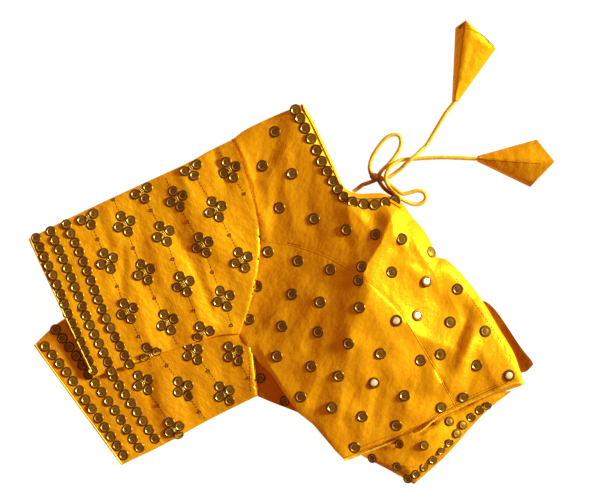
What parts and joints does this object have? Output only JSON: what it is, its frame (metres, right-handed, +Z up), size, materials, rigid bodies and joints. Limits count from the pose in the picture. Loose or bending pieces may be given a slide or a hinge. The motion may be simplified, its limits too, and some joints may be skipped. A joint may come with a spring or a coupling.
{
  "type": "choli blouse",
  "caption": "Princess-cut saree blouse with elbow sleeves, folded in half and laid flat, with a tied fabric cord and kite tassels at the neck.",
  "frame": {"origin": "middle of the laid-out blouse on the surface that it lies on", "axes": "+Z up, +X towards the centre front and hem, +Y towards the shoulder, as seen from above"},
  "size_m": [0.5252, 0.4634, 0.0308],
  "materials": {
    "yellow_silk": "raw silk with a soft sheen",
    "shaded_silk": "raw silk in shade, dull",
    "dori_silk": "bias-cut silk cord, satin",
    "antique_gold": "antique gold sequins and beads, half gloss"
  },
  "bodies": {
    "root": {"front_centre_panel": "yellow_silk", "front_side_panel": "yellow_silk", "neck_binding": "yellow_silk", "hidden_layers": "shaded_silk", "left_sleeve": "yellow_silk", "left_cuff_piping": "yellow_silk", "right_sleeve": "yellow_silk", "right_cuff_piping": "yellow_silk", "right_side_panel": "shaded_silk", "back_panel": "yellow_silk", "hook_placket": "shaded_silk", "dori_left_lead": "dori_silk", "dori_left_loop": "dori_silk", "dori_left_end": "dori_silk", "dori_right_lead": "dori_silk", "dori_right_strand": "dori_silk", "dori_knot": "dori_silk", "latkan_upper": "yellow_silk", "latkan_right": "yellow_silk"}
  },
  "joints": []
}
